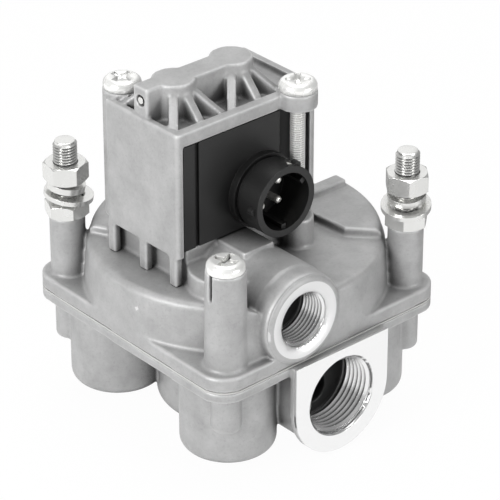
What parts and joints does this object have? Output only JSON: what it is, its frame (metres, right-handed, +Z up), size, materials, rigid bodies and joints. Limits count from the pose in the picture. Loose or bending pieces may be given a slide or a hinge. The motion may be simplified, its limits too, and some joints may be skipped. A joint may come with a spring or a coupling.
{
  "type": "relay valve",
  "caption": "Cast aluminium anti-lock brake relay valve: flanged round body, threaded air ports, ribbed solenoid cover, round bayonet plug and stud mounting.",
  "frame": {"origin": "middle of the exhaust outlet's lower rim, which the valve stands on", "axes": "+Z up, along the exhaust outlet, the piston and the mounting studs; -Y is the front, where both threaded ports and the plug face; -X is the left"},
  "size_m": [0.0986, 0.1008, 0.1236],
  "materials": {
    "cast_aluminium": "as-cast, blasted, with bright machined faces",
    "zinc_steel": "bright zinc plate",
    "spring_steel": "drawn wire, oiled",
    "machined_aluminium": "turned",
    "black_nylon": "moulded, matt",
    "rubber": "moulded",
    "gasket_fibre": "pressed fibre sheet",
    "tinned_brass": "tin plate",
    "coil_resin": "potted winding",
    "soft_iron": "turned"
  },
  "bodies": {
    "housing": {"lower_casting": "cast_aluminium", "casting_gasket": "gasket_fibre", "upper_casting": "cast_aluminium", "valve_spring": "spring_steel", "exhaust_insert": "machined_aluminium", "insert_seal": "rubber", "insert_ring": "spring_steel", "exhaust_flap": "rubber", "flap_ring": "spring_steel", "mounting_studs": "zinc_steel", "thin_nuts": "zinc_steel", "flat_washers": "zinc_steel", "spring_washers": "zinc_steel", "top_nuts": "zinc_steel", "casting_screws": "zinc_steel", "solenoid_cover": "cast_aluminium", "vent_plug": "zinc_steel", "cover_screws": "zinc_steel", "solenoid_block": "black_nylon", "contact_pins": "tinned_brass", "block_gasket": "rubber", "solenoid_coils": "coil_resin", "yoke_plate": "soft_iron", "core_tubes": "machined_aluminium", "fixed_cores": "soft_iron", "intake_spring": "spring_steel", "outlet_spring": "spring_steel"},
    "piston": {"relay_piston": "machined_aluminium", "piston_seal": "rubber"},
    "inlet_valve": {"inlet_valve": "machined_aluminium", "valve_rubber": "rubber"},
    "intake_armature": {"intake_armature": "soft_iron", "intake_armature_tip": "rubber"},
    "outlet_armature": {"outlet_armature": "soft_iron", "outlet_armature_tip": "rubber"}
  },
  "joints": [
    {"name": "piston_slide", "type": "slide", "parent": "housing", "child": "piston", "axis": [0, 0, 1], "range_m": [0, 0.002]},
    {"name": "inlet_valve_slide", "type": "slide", "parent": "housing", "child": "inlet_valve", "axis": [0, 0, -1], "range_m": [0, 0.002], "stiffness_N_per_m": 3000, "springref_m": -0.002, "deforming": ["valve_spring"]},
    {"name": "intake_armature_slide", "type": "slide", "parent": "housing", "child": "intake_armature", "axis": [0, 0, 1], "range_m": [0, 0.001], "stiffness_N_per_m": 1500, "springref_m": -0.002, "deforming": ["intake_spring"]},
    {"name": "outlet_armature_slide", "type": "slide", "parent": "housing", "child": "outlet_armature", "axis": [0, 0, 1], "range_m": [0, 0.001], "stiffness_N_per_m": 1500, "springref_m": -0.002, "deforming": ["outlet_spring"]}
  ]
}
